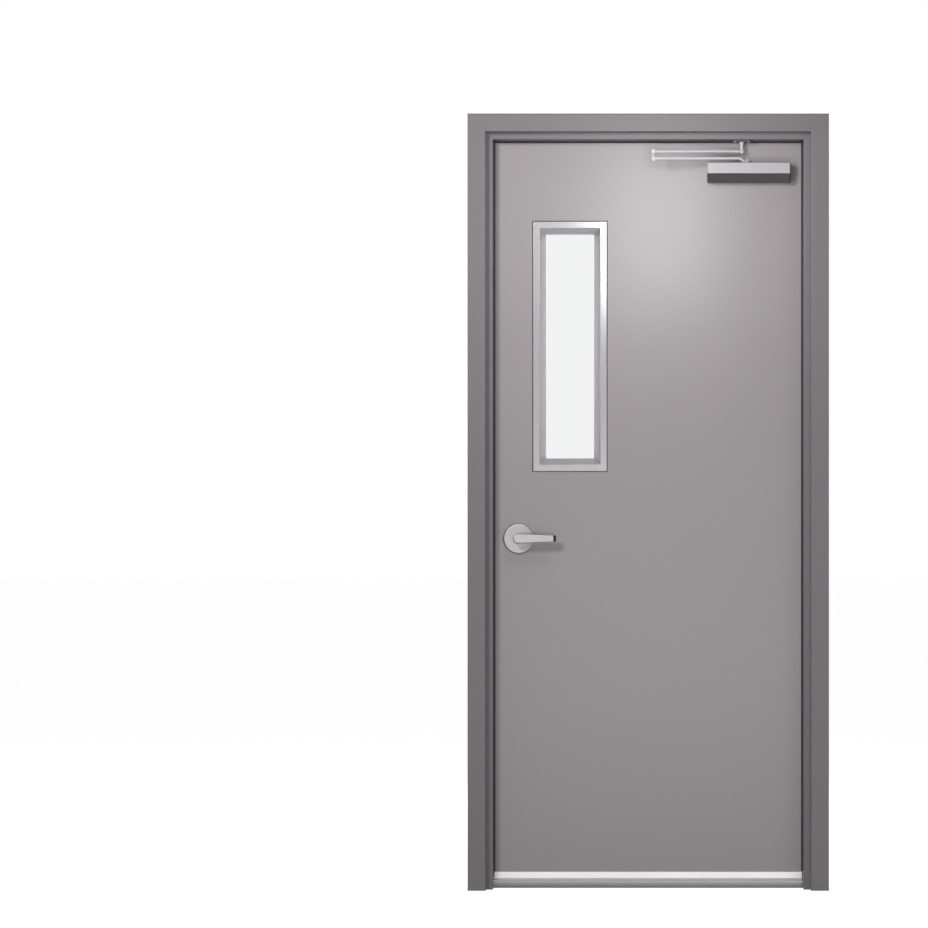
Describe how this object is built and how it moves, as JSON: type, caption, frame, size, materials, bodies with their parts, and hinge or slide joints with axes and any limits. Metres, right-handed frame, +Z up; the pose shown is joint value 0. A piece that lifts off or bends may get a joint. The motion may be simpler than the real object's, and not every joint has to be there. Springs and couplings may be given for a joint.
{
  "type": "steel security door with frame",
  "caption": "Single steel door in a pressed steel frame, with vision panel, lever lock, parallel-arm closer, seals and sill.",
  "frame": {"origin": "centre of the doorway on the underside of the sill bar, at floor level, in the middle of the leaf's thickness", "axes": "+X across the doorway towards the hinges, +Y towards the pull side that the leaf opens to, +Z up"},
  "size_m": [1.016, 0.2332, 2.1844],
  "materials": {
    "frame_paint": "satin",
    "leaf_paint": "satin",
    "seal_rubber": "matt",
    "sill_aluminium": "mill finish",
    "primed_steel": "primed",
    "zinc_steel": "zinc plated",
    "satin_steel": "satin",
    "satin_lever": "satin",
    "lever_cap_plastic": "matt",
    "core_board": "raw",
    "lite_steel": "satin",
    "clear_glass": "clear",
    "closer_paint": "satin",
    "sweep_aluminium": "bright",
    "sweep_vinyl": "matt"
  },
  "bodies": {
    "frame": {"hinge_jamb": "frame_paint", "strike_jamb": "frame_paint", "frame_head": "frame_paint", "hinge_jamb_seal": "seal_rubber", "strike_jamb_seal": "seal_rubber", "head_seal": "seal_rubber", "threshold": "sill_aluminium", "floor_anchors": "primed_steel", "hinge_reinforcements": "primed_steel", "closer_reinforcement": "primed_steel", "strike_plate": "satin_steel", "strike_box": "zinc_steel", "bottom_hinge_frame_leaf": "satin_steel", "middle_hinge_frame_leaf": "satin_steel", "top_hinge_frame_leaf": "satin_steel", "closer_shoe": "closer_paint"},
    "door_leaf": {"push_skin": "leaf_paint", "pull_skin": "leaf_paint", "door_core": "core_board", "top_channel": "leaf_paint", "bottom_channel": "leaf_paint", "lite_frame_push": "lite_steel", "lite_frame_pull": "lite_steel", "lite_glass": "clear_glass", "bottom_hinge_door_leaf": "satin_steel", "middle_hinge_door_leaf": "satin_steel", "top_hinge_door_leaf": "satin_steel", "push_rose": "satin_lever", "pull_rose": "satin_lever", "lock_chassis": "zinc_steel", "lock_faceplate": "satin_steel", "latch_bolt": "satin_steel", "closer_body": "closer_paint", "sweep_retainer": "sweep_aluminium", "sweep_seal": "sweep_vinyl"},
    "lever_set": {"push_lever": "satin_lever", "push_lever_cap": "lever_cap_plastic", "pull_lever": "satin_lever", "pull_lever_cap": "lever_cap_plastic", "lever_spindle": "satin_steel"},
    "main_arm": {"main_arm": "closer_paint", "closer_spindle": "closer_paint"},
    "forearm": {"forearm": "closer_paint"}
  },
  "joints": [
    {"name": "door_swing", "type": "hinge", "parent": "frame", "child": "door_leaf", "pos_m": [0.4556, 0.0349, 0], "axis": [0, 0, -1], "range_deg": [0, 110], "stiffness_Nm_per_rad": 12, "springref_deg": -40.11},
    {"name": "lever_turn", "type": "hinge", "parent": "door_leaf", "child": "lever_set", "pos_m": [-0.3674, 0, 0.9895], "axis": [0, 1, 0], "range_deg": [0, 45], "stiffness_Nm_per_rad": 1.5, "springref_deg": -28.65},
    {"name": "main_arm_turn", "type": "hinge", "parent": "door_leaf", "child": "main_arm", "pos_m": [0.278, -0.048, 2.0507], "axis": [0, 0, 1], "range_deg": [0, 99.2]},
    {"name": "forearm_turn", "type": "hinge", "parent": "frame", "child": "forearm", "pos_m": [0.2637, -0.054, 2.0828], "axis": [0, 0, -1], "range_deg": [0, 86.45]}
  ],
  "couplings": [
    {"joint": "main_arm_turn", "follows": "door_swing", "ratio": 0.90135},
    {"joint": "forearm_turn", "follows": "door_swing", "ratio": 0.7855}
  ]
}
